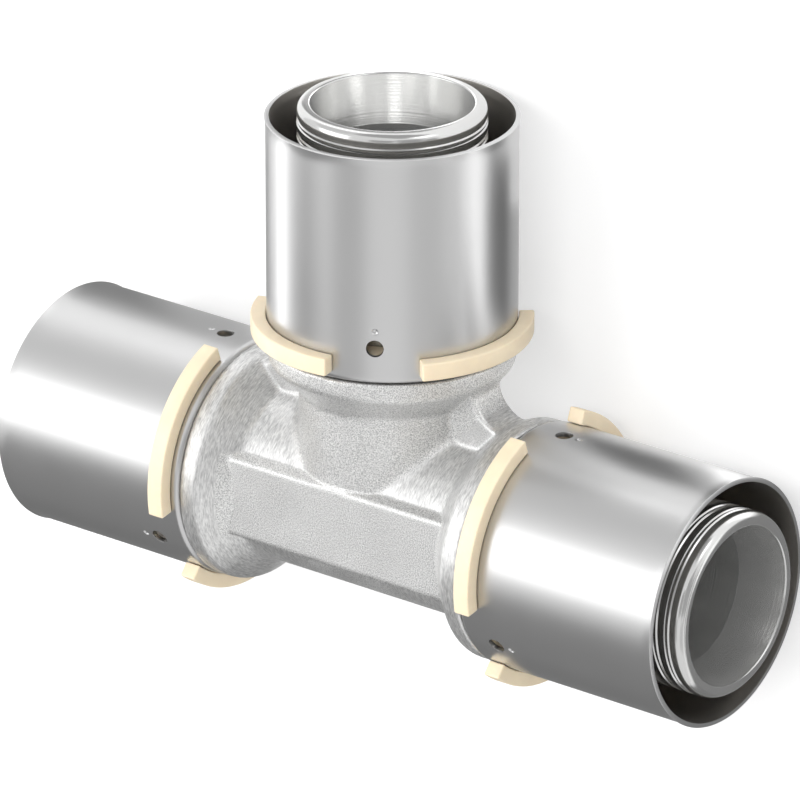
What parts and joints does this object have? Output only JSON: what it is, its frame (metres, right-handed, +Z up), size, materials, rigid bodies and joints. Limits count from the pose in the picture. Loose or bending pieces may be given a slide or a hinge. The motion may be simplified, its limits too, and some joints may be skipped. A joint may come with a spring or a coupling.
{
  "type": "press fit fitting",
  "caption": "Equal press fit pipe tee: forged brass body with barbed spigots, O-rings, steel press sleeves, stop rings and plastic stop clips.",
  "frame": {"origin": "the point where the three arm axes cross", "axes": "+X along the run to the right, +Y along the branch, +Z up out of the front pad, with the tee lying on its side"},
  "size_m": [0.1826, 0.1213, 0.06],
  "materials": {
    "tinned_brass": "tin-plated forging with a fine sand-blasted grain, spigots machined bright",
    "stainless_steel": "drawn stainless steel tube, smooth and bright",
    "cream_plastic": "moulded cream plastic, satin",
    "seal_rubber": "black EPDM, lightly greased"
  },
  "bodies": {
    "root": {"tee_body": "tinned_brass", "right_sleeve": "stainless_steel", "right_stop_ring": "cream_plastic", "right_clip_1": "cream_plastic", "right_clip_2": "cream_plastic", "right_clip_3": "cream_plastic", "right_outer_seal": "seal_rubber", "right_inner_seal": "seal_rubber", "left_sleeve": "stainless_steel", "left_stop_ring": "cream_plastic", "left_clip_1": "cream_plastic", "left_clip_2": "cream_plastic", "left_clip_3": "cream_plastic", "left_outer_seal": "seal_rubber", "left_inner_seal": "seal_rubber", "branch_sleeve": "stainless_steel", "branch_stop_ring": "cream_plastic", "branch_clip_1": "cream_plastic", "branch_clip_2": "cream_plastic", "branch_clip_3": "cream_plastic", "branch_outer_seal": "seal_rubber", "branch_inner_seal": "seal_rubber"}
  },
  "joints": []
}
